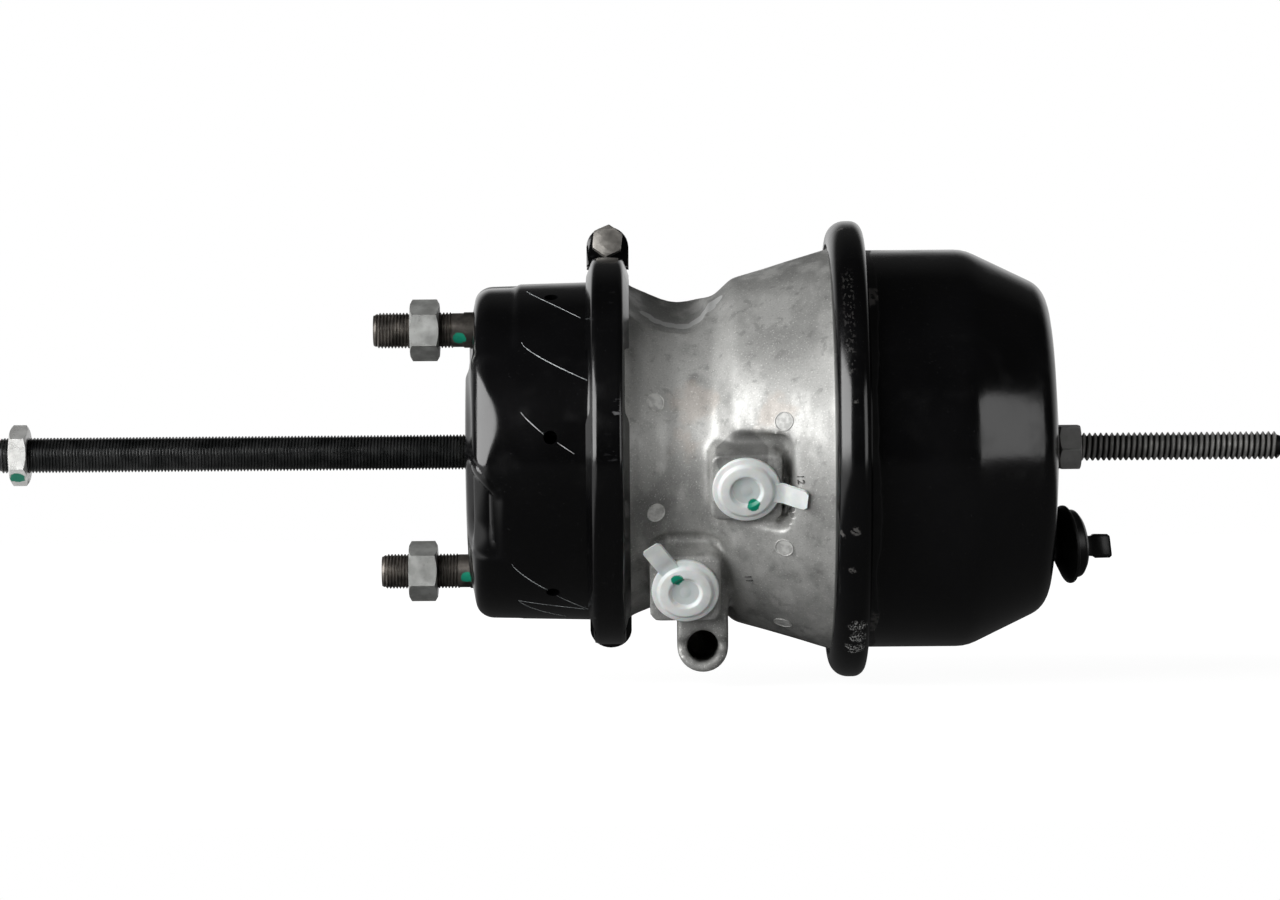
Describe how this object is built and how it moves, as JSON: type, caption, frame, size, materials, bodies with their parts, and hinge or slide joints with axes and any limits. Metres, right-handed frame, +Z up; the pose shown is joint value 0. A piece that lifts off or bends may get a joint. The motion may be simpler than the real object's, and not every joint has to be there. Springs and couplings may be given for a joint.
{
  "type": "air brake chamber",
  "caption": "Double-diaphragm spring brake chamber with push rod, mounting studs, clamp ring, cast port flange, spring housing and caging bolt.",
  "frame": {"origin": "centre of the two mounting studs' pattern, on the mounting face of the service housing", "axes": "+X from the mounting face towards the spring housing, -Y towards the ports, +Z up"},
  "size_m": [0.5824, 0.2066, 0.2066],
  "materials": {
    "black_paint": "gloss",
    "clamp_steel": "gloss",
    "cast_aluminium": "as cast",
    "dark_steel": "oiled",
    "bright_nut": "zinc plated",
    "rod_black": "satin",
    "release_steel": "zinc plated",
    "spring_steel": "coated",
    "pressed_steel": "plain",
    "diaphragm_rubber": "matte",
    "seal_rubber": "matte",
    "white_cap": "translucent",
    "black_plug": "satin",
    "bush_plastic": "plain"
  },
  "bodies": {
    "chamber": {"service_housing": "black_paint", "mounting_studs": "dark_steel", "stud_nuts": "bright_nut", "push_rod_guide": "bush_plastic", "clamp_front": "clamp_steel", "clamp_rear": "clamp_steel", "clamp_bolts": "dark_steel", "clamp_nuts": "dark_steel", "service_diaphragm": "diaphragm_rubber", "intermediate_flange": "cast_aluminium", "adapter_push_rod": "pressed_steel", "web_bush": "bush_plastic", "o_rings": "seal_rubber", "bush_circlip": "spring_steel", "adapter_plate": "pressed_steel", "crimp_ring": "black_paint", "spring_diaphragm": "diaphragm_rubber", "spring_housing": "black_paint", "pressure_plate": "pressed_steel", "spring_guide": "pressed_steel", "power_spring": "spring_steel", "adapter_return_spring": "spring_steel", "return_spring": "spring_steel"},
    "push_rod": {"push_rod": "rod_black", "push_plate": "pressed_steel", "jam_nut": "bright_nut"},
    "release_nut": {"release_nut": "release_steel"},
    "release_bolt": {"release_bolt": "release_steel"},
    "dust_plug": {"dust_plug": "black_plug"},
    "port_cap_11": {"port_cap_11": "white_cap"},
    "port_cap_12": {"port_cap_12": "white_cap"}
  },
  "joints": [
    {"name": "service_stroke", "type": "slide", "parent": "chamber", "child": "push_rod", "axis": [-1, 0, 0], "range_m": [0, 0.057], "stiffness_N_per_m": 3000, "springref_m": -0.03, "deforming": ["return_spring", "service_diaphragm"]},
    {"name": "release_nut_turn", "type": "hinge", "parent": "chamber", "child": "release_nut", "pos_m": [0.2735, 0, 0], "axis": [1, 0, 0], "range_deg": [0, 1081]},
    {"name": "release_bolt_slide", "type": "slide", "parent": "chamber", "child": "release_bolt", "axis": [-1, 0, 0], "range_m": [0, 0.00762]},
    {"name": "dust_plug_pull", "type": "slide", "parent": "chamber", "child": "dust_plug", "axis": [0.972, 0.2181, -0.0871], "range_m": [0, 0.025]},
    {"name": "port_cap_11_pull", "type": "slide", "parent": "chamber", "child": "port_cap_11", "axis": [0, -0.9135, -0.4067], "range_m": [0, 0.015]},
    {"name": "port_cap_12_pull", "type": "slide", "parent": "chamber", "child": "port_cap_12", "axis": [0, -0.9135, -0.4067], "range_m": [0, 0.015]}
  ],
  "couplings": [
    {"joint": "release_nut_turn", "follows": "release_bolt_slide", "rad_per_m": 2473.7}
  ]
}
